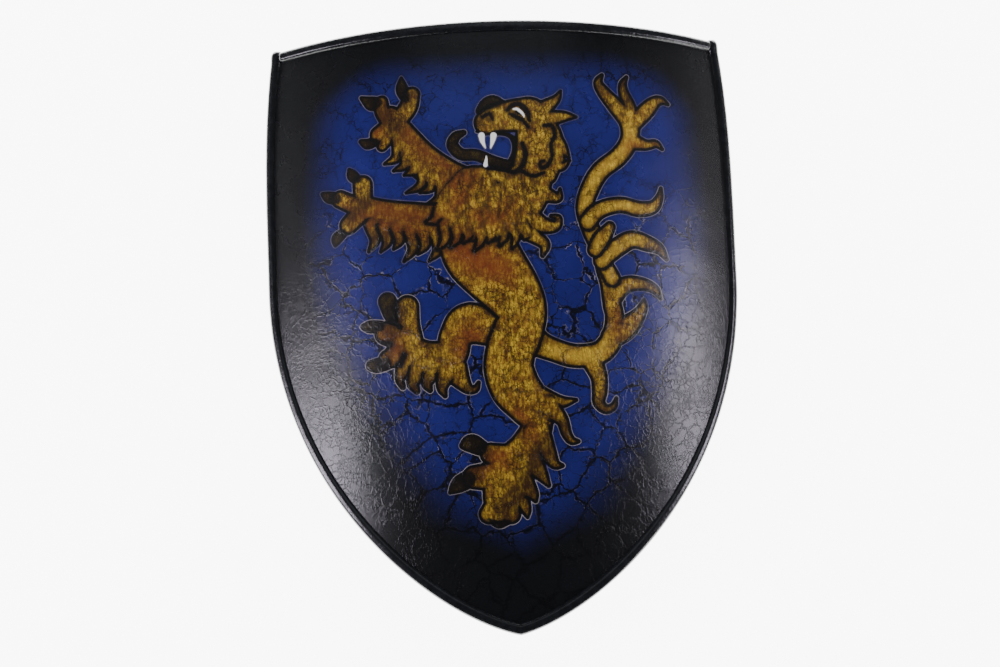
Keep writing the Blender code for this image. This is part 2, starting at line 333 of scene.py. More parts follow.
TAIL = [
    [(22, -2, 20), (38, -14, 14), (54, -21, 12), (75, -27, 12), (98, -25, 12), (110, -16, 12),
     (116, -2, 11), (117, 14, 10), (115, 30, 10), (128, 45, 9), (146, 47, 7), (160, 42, 5),
     (166, 33, 2)],
    [(114, -8, 12), (129, 2, 12), (141, 14, 8), (147, 24, 5), (148, 31, 2)],
    [(92, -28, 12), (100, -47, 9), (101, -62, 8), (100, -73, 6.5), (107, -80, 5), (115, -77, 4),
     (118, -69, 2)],
    [(114, 30, 10), (112, 46, 10), (108, 60, 10), (103, 80, 10), (94, 99, 10), (87, 122, 9.5),
     (93, 143, 10), (104, 161, 10), (123, 177, 10), (134, 194, 10), (134, 213, 11), (119, 230, 9),
     (107, 243, 7), (102, 252, 5), (106, 260, 2)],
    [(137, 216, 9), (135, 230, 7), (129, 243, 6), (128, 252, 4.5), (132, 260, 2)],
    [(140, 213, 9), (154, 228, 9), (163, 237, 6.5), (170, 239, 4.5), (177, 236, 2)],
    [(136, 194, 10), (152, 191, 6), (163, 193, 4.5), (170, 188, 2)],
]
TAIL_BRANCHES = [
    [[(115, 52, 9), (111, 59, 9)]],
    [[(104, 69, 9), (120, 83, 10), (136, 92, 9.5), (152, 89, 8.5), (165, 84, 6), (173, 74, 2.5)]],
    [[(97, 80, 8), (105, 92, 9), (113, 104, 6)]],
    [[(90, 108, 9), (103, 121, 9), (124, 127, 8.5), (144, 124, 8.5), (159, 127, 7), (166, 137, 4.5),
      (168, 147, 2)]],
]
UPPER_ARM = [
    [(-27, 146, 14), (-52, 153, 18), (-77, 170, 18.5), (-96, 195, 15), (-109, 215, 12)],
    [(-111, 212, 9), (-117, 222, 8.5), (-118, 231, 7)],
    [(-102, 210, 10), (-91, 224, 10), (-87, 237, 8.5)],
    [(-112, 205, 9), (-121, 198, 9)],
    [(-110, 196, 9), (-117, 186, 6)],
]
UPPER_ARM_LOCKS = dict(root_start=(-100, 190), root_end=(-56, 150), tip_start=(-113, 170),
                       tip_end=(-73, 124), count=6, root_radius=8)
UPPER_CLAWS = [
    [(-121, 231, 5.5), (-127, 230, 7.5), (-133, 233, 5), (-139, 237, 1.8)],
    [(-93, 233, 5), (-97, 243, 6.5), (-98, 255, 1.6)],
    [(-124, 191, 5), (-132, 189, 5.5), (-139, 192, 2.5)],
]
LOWER_ARM = [
    [(-48, 104, 20), (-75, 108, 19), (-104, 113, 17), (-125, 120, 14), (-139, 126, 13)],
    [(-136, 132, 10), (-137, 147, 10.5)],
    [(-146, 127, 10), (-160, 134, 9.5)],
    [(-140, 118, 11), (-151, 107, 10)],
]
LOWER_ARM_LOCKS = dict(root_start=(-128, 106), root_end=(-62, 96), tip_start=(-130, 82),
                       tip_end=(-69, 68), count=6, root_radius=8, hook=0.2)
LOWER_CLAWS = [
    [(-141, 152, 4), (-147, 157, 6), (-151, 164, 2)],
    [(-164, 135, 6.5), (-172, 137, 6), (-179, 141, 2)],
    [(-157, 99, 5), (-163, 94, 6), (-165, 87, 2)],
]
RAISED_LEG = [
    [(-2, -4, 15), (-28, 5, 21), (-42, -7, 17), (-48, -26, 17), (-70, -30, 18), (-90, -22, 17)],
    [(-88, -14, 14), (-90, 4, 12), (-91, 22, 12)],
    [(-96, -10, 13), (-112, -4, 12)],
    [(-98, -24, 14), (-110, -30, 10)],
    [(-46, -38, 15), (-37, -52, 9), (-30, -60, 5.5), (-23, -60, 4), (-20, -54, 2.2)],
]
RAISED_TUFTS = [
    [(-94, -38, 9), (-98, -50, 5), (-95, -58, 3)],
    [(-80, -42, 10), (-85, -54, 6.5), (-81, -62, 3.5)],
    [(-66, -43, 9), (-71, -54, 6), (-68, -61, 3)],
    [(-52, -44, 10), (-56, -58, 6), (-53, -67, 2.5)],
]
RAISED_CLAWS = [
    [(-111, 28, 9.5), (-107, 17, 9), (-107, 10, 5)],
    [(-118, 3, 6), (-128, 3, 6.5), (-135, 3, 3.5)],
    [(-112, -34, 7), (-121, -36, 7.5), (-127, -36, 5.5)],
]
BODY = [
    [(-24, 98, 34), (-20, 80, 38), (-6, 60, 35), (9, 42, 31), (20, 26, 27), (24, 12, 24),
     (19, -4, 25), (12, -22, 25), (10, -40, 25), (16, -58, 25), (28, -74, 22), (38, -94, 16),
     (28, -118, 18), (12, -142, 24), (5, -164, 21), (0, -180, 12)],
    [(35, -66, 12), (60, -73, 7), (77, -71, 2)],
    [(12, -130, 16), (-8, -124, 11)],
    [(0, -146, 16), (-24, -147, 12)],
    [(0, -172, 14), (-10, -183, 10)],
    [(8, -172, 14), (12, -183, 10)],
    [(18, -160, 10), (26, -177, 6), (28, -186, 2)],
]
LEG_TUFTS = [
    [(48, -78, 12), (62, -90, 7), (67, -104, 5.5), (72, -111, 4.5), (79, -112, 2.2)],
    [(38, -104, 14), (48, -122, 9), (55, -134, 5.5), (63, -136, 2.2)],
    [(28, -128, 14), (40, -142, 8), (49, -155, 2.6)],
    [(16, -146, 16), (32, -162, 7), (36, -170, 2.6)],
]
FOOT_CLAWS = [
    [(-18, -118, 8), (-27, -114, 9), (-35, -116, 4)],
    [(-30, -149, 9), (-39, -154, 8), (-48, -162, 2)],
    [(-10, -188, 3), (0, -194, 3), (10, -190, 3)],
]
MANE = [
    [(-24, 138, 26), (-40, 120, 24), (-16, 116, 30), (10, 122, 28), (26, 138, 26), (34, 160, 21)],
    [(-18, 152, 12), (-38, 140, 14), (-52, 124, 12), (-62, 110, 6), (-72, 107, 1.6)],
    [(28, 114, 12), (44, 104, 9), (57, 103, 6), (60, 111, 4), (53, 113, 2.4)],
    [(22, 102, 12), (36, 92, 8), (46, 84, 6), (44, 73, 2.5)],
    [(36, 140, 13), (50, 134, 8), (60, 132, 5), (62, 141, 1.6)],
    [(33, 158, 21), (37, 190, 20), (34, 212, 20), (24, 215, 18), (6, 213, 16), (-7, 210, 14),
     (-12, 207, 13)],
    [(30, 172, 14), (30, 158, 14), (14, 150, 10), (-4, 154, 7), (-14, 159, 2.5)],
    [(42, 212, 13), (50, 194, 15), (54, 176, 14), (48, 156, 12)],
    [(45, 222, 9), (58, 232, 5), (63, 241, 1.6)],
    [(50, 212, 9), (66, 215, 6), (79, 215, 1.6)],
    [(54, 194, 10), (63, 184, 7), (71, 173, 2)],
    [(48, 172, 9), (62, 164, 6), (72, 170, 1.6)],
    [(56, 182, 9), (62, 171, 6)],
]
MANE_LOCKS = dict(root_start=(-54, 104), root_end=(24, 104), tip_start=(-60, 82),
                  tip_end=(26, 84), count=8, root_radius=7, hook=0.18)
MANE_LINE_LOW = 122
MANE_LINE_FAINT = 1.3
TONGUE = [
    [(14, 164, 4), (-4, 167, 6), (-22, 174, 6), (-37, 175, 6), (-46, 184, 6), (-43, 193, 5),
     (-35, 197, 3)],
]
NOSE = [
    [(-18, 219, 5), (-12, 225, 7), (-5, 228, 7), (5, 228, 2)],
]
MOUTH = [
    [(-22, 198, 1.2), (-6, 196, 1.4), (8, 195, 2.0), (15, 190, 3.0), (17, 181, 3.4), (15, 171, 4.0),
     (8, 161, 4.0), (0, 158, 2.0)],
]
TEETH = [
    [(-17, 194, 3.2), (-16, 188, 2.3), (-13, 181, 0.7)],
    [(-5, 194, 3.2), (-6, 188, 2.2), (-8, 181, 0.7)],
    [(-13, 164, 2.2), (-12, 173, 0.6)],
]
EYE = [
    [(15, 221, 0.8), (19, 221, 1.4), (24, 217, 1.2), (26, 213, 0.6)],
]
INK_LINES = [
    [(9, 220, 1.2), (14, 225, 1.8), (21, 226, 2.0), (28, 220, 2.2), (31, 210, 1.4)],
    [(12, 216, 1.0), (18, 213, 1.6), (24, 210, 1.6), (30, 203, 1.0)],
    [(19, 219, 1.4), (21, 217, 1.4)],
    [(46, 205, 1.4), (54, 205, 1.6), (57, 196, 1.6), (53, 186, 1.4), (54, 174, 1.4),
     (49, 164, 1.6), (43, 162, 1.6), (42, 167, 1.2), (46, 169, 1.0)],
    [(24, 158, 1.4), (34, 153, 1.4), (46, 157, 1.0)],
    [(-16, 213, 1.6), (-9, 216, 1.2), (-6, 210, 0.8)],
    [(-124, -13, 2.0), (-108, -15, 2.4)],
    [(-107, 10, 1.6), (-98, 2, 2.0)],
    [(-94, -26, 2.6), (-98, -36, 2.6)],
    [(24, 186, 1.6), (27, 176, 2.0), (24, 164, 2.2), (17, 157, 2.0), (8, 158, 1.2)],
]
RUST_AREAS = [
    [(-58, 108, 10), (-92, 114, 9), (-120, 120, 9)],
    [(-46, 160, 5), (-74, 178, 6), (-92, 200, 6)],
    [(-30, 144, 5), (-44, 122, 6)],
    [(-30, 152, 8), (-46, 148, 10)],
    [(-40, 82, 16), (-14, 66, 16), (6, 58, 10)],
    [(-28, -8, 12), (-34, -22, 8)],
    [(-124, 200, 6), (-110, 226, 5)],
    [(-148, 122, 6), (-110, 104, 8), (-80, 98, 8)],
    [(-110, -6, 8), (-102, -24, 8)],
    [(10, 122, 5), (0, 110, 6), (-20, 112, 6)],
    [(-20, -134, 10), (0, -128, 8)],
    [(20, -84, 5), (36, -110, 4)],
    [(136, 190, 3), (142, 186, 3)],
    [(118, -4, 3), (120, 16, 3)],
]
FUR_AREA = (-46, 104, 36, 164)
FUR_ROWS = 5
FUR_COLUMNS = 7


def fur_strokes():
    """Short curved strokes in rows over the mane, each a little different."""
    left, low, right, high = FUR_AREA
    strokes = []
    for row in range(FUR_ROWS):
        for k in range(FUR_COLUMNS):
            column = (k + 0.5 * (row % 2)) / (FUR_COLUMNS - 0.5)
            x = left + (right - left) * column + 3 * math.sin(5 * k + 2 * row)
            y = high - (high - low) * row / (FUR_ROWS - 0.6) + 4 * math.sin(3 * k + row)
            bend = 3.5 * math.sin(2 * k + 3 * row)
            strokes.append([(x, y, 1.2), (x - 3 + bend, y - 8, 2.2), (x + 1, y - 17, 0.8)])
    return strokes


UMBER_AREAS = [
    [(-104, 206, 12), (-116, 222, 10)],
    [(-96, 230, 8), (-88, 238, 6)],
    [(-134, 130, 10), (-150, 116, 9)],
    [(-108, -4, 9), (-94, 20, 8)],
    [(8, -178, 13), (30, -152, 13), (48, -118, 13), (66, -94, 8)],
    [(-30, -148, 10), (-16, -118, 10)],
    [(103, 256, 9), (110, 240, 3)],
    [(129, 254, 11), (133, 236, 9)],
    [(176, 238, 6), (168, 240, 3)],
    [(171, 188, 4)],
    [(168, 147, 8)],
    [(160, 84, 8), (152, 40, 8)],
    [(100, -76, 7), (116, -72, 5)],
    [(-100, 22, 6), (-110, -30, 4)],
    [(-96, -52, 6), (-82, -58, 6)],
    [(-30, -60, 5), (-22, -58, 5)],
    [(-100, 158, 9), (-74, 128, 10)],
    [(-124, 90, 10), (-80, 76, 10)],
    [(-96, -56, 10), (-84, -56, 9), (-70, -57, 9), (-54, -62, 10)],
    [(-20, -138, 5), (-44, -152, 7)],
]
LIT_AREAS = [
    [(112, 50, 5), (96, 96, 5), (88, 124, 5), (100, 156, 5), (124, 178, 5), (134, 206, 6)],
    [(100, 119, 4), (124, 127, 4), (146, 124, 3)],
    [(106, 72, 4), (126, 87, 4), (148, 91, 3)],
    [(112, -4, 4), (92, -28, 6), (58, -23, 8)],
]
BROWN_AREAS = [
    [(-54, 156, 10), (-78, 172, 13), (-98, 198, 11)],
    [(-64, 106, 13), (-100, 112, 13), (-132, 120, 10)],
    [(-60, -28, 12), (-96, -22, 12)],
    [(6, -160, 14), (-12, -148, 12)],
    [(110, 230, 5), (126, 200, 5)],
    [(120, -8, 5), (116, 12, 4)],
]


def lion_fields(at):
    """Fields of the drawing at points given in steps: the lion's signed distance, and the
    distances to ink, claws and white. A shape drawn later hides the ink lines under it, and
    adds its own edge, which is fainter where the mane lies over the upper arm.
    """
    shapes = [(TAIL, [])]
    shapes += [(branch, []) for branch in TAIL_BRANCHES]
    shapes += [
        (UPPER_ARM, locks(**UPPER_ARM_LOCKS)),
        (LOWER_ARM, locks(**LOWER_ARM_LOCKS)),
        (RAISED_LEG, RAISED_TUFTS),
        (BODY, LEG_TUFTS),
        (MANE, locks(**MANE_LOCKS)),
    ]
    lion = np.full(len(at), FAR)
    ink = np.full(len(at), FAR)
    for strokes, tufts in shapes:
        core = union_distance(at, strokes)
        own = core
        between = np.full(len(at), FAR)
        for tuft in tufts:
            edge = stroke_distance(at, tuft)
            fading = np.abs(edge + 0.5) + np.maximum(-core - 3, 0) * 0.5
            between = np.minimum(fading, np.maximum(between, -edge - 0.5))
            own = np.minimum(own, edge)
        over_arm = (strokes is MANE) & (lion < -3) & (at[:, 1] > MANE_LINE_LOW)
        edge = np.abs(own + 0.5) + np.where(over_arm, MANE_LINE_FAINT, 0)
        ink = np.minimum(edge, np.maximum(ink, -own - 0.5))
        ink = np.minimum(ink, np.where(own < 0, between, FAR))
        lion = np.minimum(lion, own)
    tongue = union_distance(at, TONGUE)
    nose = union_distance(at, NOSE)
    claws = union_distance(at, UPPER_CLAWS + LOWER_CLAWS + RAISED_CLAWS + FOOT_CLAWS)
    mouth = union_distance(at, MOUTH)
    dark = np.minimum(np.minimum(claws, tongue), np.minimum(nose, mouth))
    lines = union_distance(at, INK_LINES)
    lion = np.minimum(lion, dark)
    white = np.minimum(union_distance(at, TEETH), union_distance(at, EYE))
    lion = np.minimum(lion, white)
    ink = np.minimum(ink, np.maximum(lines + 1.2, 0))
    return lion, ink, dark, white


def soft_areas(at, areas, blur):
    """Soft spots: one over one plus e to the nearest spot's signed distance over the blur."""
    found = union_distance(at, areas)
    return 1 / (1 + np.exp(np.clip(found / blur, -30, 30)))


# Nodes


class Value:
    """A shader socket that takes part in Python arithmetic."""

    def __init__(self, kit, socket):
        self.kit = kit
        self.socket = socket

    def __add__(self, other):
        return self.kit.maths("ADD", self, other)

    def __sub__(self, other):
        return self.kit.maths("SUBTRACT", self, other)

    def __rsub__(self, other):
        return self.kit.maths("SUBTRACT", other, self)

    def __mul__(self, other):
        return self.kit.maths("MULTIPLY", self, other)

    def __truediv__(self, other):
        return self.kit.maths("DIVIDE", self, other)

    __radd__ = __add__
    __rmul__ = __mul__


class Kit:
    """Adds nodes to one material."""

    def __init__(self, name):
        self.material = bpy.data.materials.new(name)
        self.material.use_nodes = True
        self.tree = self.material.node_tree
        self.shader = self.tree.nodes["Principled BSDF"]

    def node(self, kind, settings=None, **inputs):
        """Add one node: its settings first, then the values or links of its sockets."""
        made = self.tree.nodes.new(kind)
        for name, value in (settings or {}).items():
            setattr(made, name, value)
        for name, value in inputs.items():
            key = int(name[1:]) if name[0] == "i" and name[1:].isdigit() else name.replace("_", " ")
            self.put(made.inputs[key], value)
        return made

    def put(self, socket, value):
        """Link a value to a socket, or set it."""
        if isinstance(value, Value):
            self.tree.links.new(value.socket, socket)
        elif value is not None:
            socket.default_value = value

    def maths(self, operation, first, second=None, clamp=False):
        """Add one Math node."""
        made = self.node("ShaderNodeMath", {"operation": operation, "use_clamp": clamp},
                         i0=first, i1=second)
        return Value(self, made.outputs[0])

    def attribute(self, name):
        """Read a number stored on the mesh."""
        made = self.node("ShaderNodeAttribute", {"attribute_name": name})
        return Value(self, made.outputs["Fac"])

    def place(self, scale=(1, 1, 1)):
        """Object coordinates, stretched by a scale."""
        where = self.node("ShaderNodeTexCoord")
        made = self.node("ShaderNodeMapping", i0=Value(self, where.outputs["Object"]), Scale=scale)
        return Value(self, made.outputs[0])

    def noise(self, at, scale, detail=3.0, roughness=0.55):
        """Fractal noise from 0 to 1."""
        made = self.node("ShaderNodeTexNoise", Vector=at, Scale=scale, Detail=detail,
                         Roughness=roughness)
        return Value(self, made.outputs["Fac"])

    def shifted(self, at, scale, amount, detail=2.0, roughness=0.5):
        """Coordinates moved about by noise of that scale and amount in metres."""
        made = self.node("ShaderNodeTexNoise", Vector=at, Scale=scale, Detail=detail,
                         Roughness=roughness)
        centred = self.node("ShaderNodeVectorMath", {"operation": "SUBTRACT"},
                            i0=Value(self, made.outputs["Color"]), i1=(0.5, 0.5, 0.5))
        sized = self.node("ShaderNodeVectorMath", {"operation": "SCALE"},
                          i0=Value(self, centred.outputs[0]), Scale=amount * 2)
        moved = self.node("ShaderNodeVectorMath", {"operation": "ADD"}, i0=at,
                          i1=Value(self, sized.outputs[0]))
        return Value(self, moved.outputs[0])

    def crack_distance(self, at, cell):
        """Distance to the nearest border of random cells, in cells."""
        made = self.node("ShaderNodeTexVoronoi", {"feature": "DISTANCE_TO_EDGE"}, Vector=at,
                         Scale=1 / cell)
        return Value(self, made.outputs["Distance"])

    def step(self, value, low, high, start=0.0, end=1.0):
        """Smooth step of a value: start below low and end above high."""
        made = self.node("ShaderNodeMapRange", {"interpolation_type": "SMOOTHSTEP"}, Value=value,
                         From_Min=low, From_Max=high, To_Min=start, To_Max=end)
        return Value(self, made.outputs[0])

    def mix(self, factor, first, second):
        """Mix two colours."""
        made = self.node("ShaderNodeMix", {"data_type": "RGBA"}, i0=factor,
                         i6=colour_of(first), i7=colour_of(second))
        return Value(self, made.outputs[2])

    def bump(self, height, strength, distance):
        """Normal of a height map whose unit is the distance."""
        made = self.node("ShaderNodeBump", Strength=strength, Distance=distance, Height=height)
        return Value(self, made.outputs[0])

    def finish(self, colour, roughness, normal=None, metallic=None):
        """Connect what varies and return the material."""
        self.put(self.shader.inputs["Base Color"], colour_of(colour))
        self.put(self.shader.inputs["Roughness"], roughness)
        self.put(self.shader.inputs["Normal"], normal)
        self.put(self.shader.inputs["Metallic"], metallic)
        return self.material


def shade(colour, amount):
    """A colour made lighter or darker by a factor."""
    return [part * amount for part in colour]


def colour_of(value):
    """Return a socket, or a colour with its alpha."""
    if isinstance(value, Value) or value is None:
        return value
    colour = tuple(value)
    return colour if len(colour) == 4 else (*colour, 1.0)


# Finishes: sizes of the cells whose borders are cracks, wrinkles or pores, and heights of
# relief, in metres


BIG_CELL = 0.042
MIDDLE_CELL = 0.018
SMALL_CELL = 0.0085
TINY_CELL = 0.0045
FLAKE_CELL = 0.0080
FINE_FLAKE_CELL = 0.0040
RIM_CELL = 0.006
PORE_CELL = 0.0016
SKIN_RELIEF = 0.0005
LEATHER_RELIEF = 0.0005
SCRATCH_RELIEF = 0.0002
STITCH_INSET = 0.0042
STITCH_PITCH = 0.0052
WORN_BLUE = (0.030, 0.045, 0.110)

# Numbers stored on the board's front for its paint, each with its value on the back and edges

SKIN_FIELDS = dict(lion=FAR, ink=FAR, dark=FAR, white=FAR, rust=0.0, umber=0.0, lit=0.0,
                   blackness=1.0, low_part=0.0, front=0.0)


def painted_skin(paint):
    """Blue field with airbrushed black edges and cracks, and the lion over it.

    The relief has shallow cracks with curled edges, raised fine wrinkles and soft waves.
    """
    kit = Kit("painted skin")
    at = kit.place()
    lion, ink, dark, white, rust, umber, lit, blackness, low_part, front = (
        kit.attribute(name) for name in SKIN_FIELDS)

    cloud = kit.noise(at, 14, 4.0)
    speck = kit.noise(at, 300, 4.0, 0.65)
    patch = kit.noise(at, 9, 2.0)
    patch_fine = kit.noise(at, 31, 2.0)
    wandering = kit.shifted(at, 30, 0.015, 6.0, 0.62)
    wandering_fine = kit.shifted(at, 75, 0.0036, 2.0)
    big = kit.crack_distance(wandering, BIG_CELL)
    middle = kit.crack_distance(wandering, MIDDLE_CELL)
    small = kit.crack_distance(wandering_fine, SMALL_CELL)
    tiny = kit.crack_distance(wandering_fine, TINY_CELL)
    near_big = kit.step(big, 0.02, 0.20, 1.0, 0.0)
    width = kit.step(patch_fine + low_part * 0.14, 0.36, 0.70, 0.008, 0.044)
    big_crack = kit.step(big / width, 0.45, 1.15, 1.0, 0.0) * kit.step(low_part, 0.0, 0.45, 0.30, 1.0)
    branch_width = kit.step(patch + low_part * 0.16, 0.44, 0.64, 0.0, 0.050) * (0.25 + near_big * 0.75)
    middle_crack = kit.step(middle / (branch_width + 0.001), 0.4, 1.0, 0.85, 0.0)
    small_crack = kit.step(small, 0.01, 0.09, 1.0, 0.0) * kit.step(patch_fine + low_part * 0.08, 0.50, 0.60)
    small_crack = small_crack * near_big * 0.8
    cracks = kit.maths("MAXIMUM", big_crack, kit.maths("MAXIMUM", middle_crack, small_crack))

    blue = kit.mix(kit.step(cloud, 0.3, 0.7), shade(paint.blue, 0.86), shade(paint.blue, 1.14))
    airbrush = kit.step(blackness + (cloud - 0.5) * 0.26, 0.0, 1.0)
    field = kit.mix(airbrush, blue, paint.black)
    field = kit.mix(cracks * 0.94, field, shade(paint.black, 0.5))
    # Painted glints: pale lines along the big cracks' edges stand in for light caught by curled paint.
    # There are none over the top or on the black edges, and they are weaker towards the bottom.
    glint = kit.step(big / width, 0.9, 1.15) * kit.step(big / width, 1.25, 1.8, 1.0, 0.0)
    glint = glint * kit.step(kit.noise(at, 60, 4.0, 0.7), 0.52, 0.60) * (1 - blackness)
    glint = glint * kit.step(low_part, 0.02, 0.20) * kit.step(low_part, 0.55, 0.85, 1.0, 0.25)
    field = kit.mix(glint * 0.65, field, paint.painted_highlight)
    halo = kit.step(lion, 0.0, 6.0, 0.35, 0.0)
    field = kit.mix(halo, field, paint.black)

    streaks = kit.noise(kit.place((1, 0.30, 1)), 360, 4.0, 0.62)
    blotch = kit.noise(at, 95, 3.0)
    dots = kit.noise(kit.place((1, 0.7, 1)), 210, 2.0, 0.5)
    gold = kit.mix(kit.step(blotch, 0.38, 0.62), paint.ochre, paint.gold)
    gold = kit.mix(kit.step(streaks, 0.44, 0.58, 0.0, 0.80), gold, shade(paint.ochre, 0.30))
    gold = kit.mix(kit.step(dots, 0.50, 0.70, 0.0, 0.35), gold, paint.rust)
    gold = kit.mix(kit.step(dots, 0.28, 0.46, 0.35, 0.0), gold, shade(paint.gold, 1.3))
    gold = kit.mix(kit.step(speck, 0.62, 0.80, 0.0, 0.30), gold, shade(paint.gold, 1.5))
    ragged = kit.shifted(at, 150, 0.0042, 4.0, 0.64)
    flaked = kit.crack_distance(ragged, FLAKE_CELL)
    flaked_fine = kit.crack_distance(ragged, FINE_FLAKE_CELL)
    craze = kit.step(flaked, 0.0, 0.085, 1.0, 0.0) * kit.step(patch_fine, 0.34, 0.58, 0.35, 0.95)
    craze = kit.maths("MAXIMUM", craze, kit.step(flaked_fine, 0.0, 0.13, 0.50, 0.0))
    gold = kit.mix(craze, gold, shade(paint.umber, 0.7))
    gold = kit.mix(lit * 0.4, gold, shade(paint.gold, 1.15))
    gold = kit.mix(rust * kit.step(blotch, 0.2, 0.6, 0.55, 0.95), gold, paint.rust)
    rough_ink = ink + (speck - 0.5) * 3.0
    gold = kit.mix(kit.step(rough_ink, 1.2, 6.5, 0.80, 0.0), gold, paint.umber)
    gold = kit.mix(umber * kit.step(streaks, 0.3, 0.6, 0.70, 0.98), gold, paint.umber)
    split = kit.maths("MAXIMUM", big_crack * 0.25, small_crack * 0.9)
    gold = kit.mix(split, gold, shade(paint.umber, 0.5))
    gold = kit.mix(kit.step(rough_ink, 1.0, 2.6, 0.97, 0.0), gold, paint.ink)
    gold = kit.mix(kit.step(dark + (speck - 0.5) * 2.0, -2.6, 0.4, 0.94, 0.0), gold, paint.ink)
    rough_edge = lion + (speck - 0.5) * 1.6
    outline = kit.step(rough_edge, -OUTLINE_STEPS - 1.4, -OUTLINE_STEPS + 0.8)
    gold = kit.mix(outline, gold, paint.ink)
    gold = kit.mix(kit.step(white, -0.5, 0.5, 1.0, 0.0), gold, paint.white)

    # Painted highlight: a thin pale line just outside the lion's outline, standing in for light caught by
    # the decal's edge, half as strong at the top
    painted_highlight = kit.step(lion, 0.1, 0.4) * kit.step(lion, 0.7, 1.2, 1.0, 0.0)
    painted_highlight = painted_highlight * kit.step(patch_fine, 0.32, 0.60, 0.25, 0.9) * (0.5 + low_part * 0.5)
    colour = kit.mix(kit.step(lion, -0.3, 0.3, 1.0, 0.0), field, gold)
    colour = kit.mix(painted_highlight, colour, paint.painted_highlight)
    scuffed = kit.step(kit.noise(at, 40, 5.0, 0.7), 0.55, 0.72, 0.0, 0.7)
    backing = kit.mix(scuffed, shade(paint.black, 2.2), shade(paint.black, 6.0))
    colour = kit.mix(1 - front, colour, backing)

    veins = kit.step(small, 0.0, 0.11, 1.0, 0.0) * kit.step(patch_fine, 0.42, 0.52)
    crumple = kit.step(tiny, 0.0, 0.18, 1.0, 0.0) * kit.step(kit.noise(at, 24, 2.0), 0.55, 0.61)
    crumple = crumple * kit.step(low_part, 0.1, 0.5)
    fold = kit.step(middle, 0.0, 0.055, 1.0, 0.0) * kit.step(patch, 0.38, 0.50)
    wrinkled = kit.maths("MAXIMUM", low_part, blackness * 0.3, clamp=True) * 0.85 + 0.15
    veins = kit.maths("MAXIMUM", veins, kit.maths("MAXIMUM", crumple * 0.7, fold)) * wrinkled
    curled = kit.step(big / width, 0.8, 1.2) * kit.step(big / width, 1.3, 2.0, 1.0, 0.0)
    curled = curled * kit.step(kit.noise(at, 55, 3.0), 0.52, 0.60) * (1 - blackness)
    curled = curled * kit.step(low_part, 0.05, 0.30)
    waves = kit.noise(at, 30, 2.0)
    height = veins * 0.50 + waves * 0.5 - big_crack * low_part * 0.20 + curled * 1.6
    roughness = 0.24 + cloud * 0.06 + (1 - front) * 0.25
    return kit.finish(colour, roughness, kit.bump(height, 0.40, SKIN_RELIEF))


def rim_skin(paint):
    """Glossy black latex with fine cross cracks, bluish worn spots, and folds along the top."""
    kit = Kit("rim skin")
    at = kit.place()
    cross = kit.noise(kit.place((1, 1, 0.2)), 380, 3.0, 0.6)
    lumps = kit.noise(at, 120, 2.0)
    worn = kit.step(kit.noise(at, 22, 4.0, 0.7), 0.66, 0.74)
    small = kit.crack_distance(kit.shifted(at, 90, 0.003), RIM_CELL)
    crack = 1 - kit.step(small, 0.0, 0.10)
    colour = kit.mix(kit.step(lumps, 0.3, 0.7), shade(paint.black, 1.4), shade(paint.black, 2.2))
    colour = kit.mix(worn * 0.5, colour, WORN_BLUE)
    folds = kit.noise(kit.place((1, 0.6, 0.6)), 260, 2.0, 0.6)
    height = cross * 0.4 + lumps * 0.5 + crack * 0.3 + folds * kit.attribute("wrinkled") * 4.5
    return kit.finish(colour, 0.15 + lumps * 0.12, kit.bump(height, 0.22, SKIN_RELIEF))


def strap_leather(paint):
    """Brown leather with pores, creases, paler edges and a row of stitches along each edge."""
    kit = Kit("strap leather")
    at = kit.place()
    margin = kit.attribute("margin")
    along = kit.attribute("along")
    pores = kit.crack_distance(kit.shifted(at, 300, 0.0006), PORE_CELL)
    creases = kit.noise(kit.place((1, 2.5, 1)), 70, 4.0, 0.6)
    from_row = kit.maths("ABSOLUTE", margin - STITCH_INSET)
    row = kit.step(from_row, 0.0005, 0.0008, 1.0, 0.0)
    beat = kit.maths("FRACT", along / STITCH_PITCH)
    dash = kit.step(kit.maths("ABSOLUTE", beat - 0.5), 0.30, 0.36, 1.0, 0.0)
    stitch = row * dash
    groove = kit.step(from_row, 0.0006, 0.0016, 1.0, 0.0)
    colour = kit.mix(kit.step(creases, 0.35, 0.7), shade(paint.leather, 0.7), shade(paint.leather, 1.5))
    colour = kit.mix(kit.step(margin, 0.0003, 0.0020, 0.6, 0.0), colour, shade(paint.leather, 2.4))
    colour = kit.mix(groove * 0.5, colour, shade(paint.leather, 0.4))
    colour = kit.mix(stitch, colour, paint.thread)
    height = kit.step(pores, 0.0, 0.25) * 0.4 + creases * 0.5 + stitch * 1.2 - groove * 0.8
    return kit.finish(colour, 0.46 + creases * 0.16, kit.bump(height, 0.6, LEATHER_RELIEF))


def screw_steel(paint):
    """Turned steel: fine scratches and a little dulling."""
    kit = Kit("screw steel")
    at = kit.place()
    scratch = kit.noise(kit.place((1, 6, 1)), 900, 3.0)
    dull = kit.noise(at, 260, 3.0)
    colour = kit.mix(kit.step(dull, 0.45, 0.75, 0.0, 0.6), paint.steel, shade(paint.steel, 0.45))
    return kit.finish(colour, 0.25 + scratch * 0.25, kit.bump(scratch, 0.25, SCRATCH_RELIEF), 1.0)


# Pieces


ROWS_UPPER = 246
ROWS_LOWER = 246
STRIPS = 25
COLUMNS_PER_STRIP = 15
SPLIT_DROP = 0.345
EDGE_TUCK = 0.0006
TIP_GAP = 0.0004
BOARD_WAVE = 0.00012
RIM_INSIDE = 0.985
RIM_ARC_STEPS = 22
RIM_WEAR_HEIGHT = 0.93
RIM_WEAR_BLEND = 0.04
RIM_WAVE = 0.0088
RIM_STEP = 0.003
RIM_ROUNDING = 0.0072
RIM_BUTT_ROUNDING = 0.0006
RIM_KNOB = 0.10
RIM_KNOB_PLACE = 0.009
RIM_KNOB_LENGTH = 0.006
TOP_FOLDS = 1.0
SIDE_FOLDS = 0.12
STRAP_CORNER = 0.007


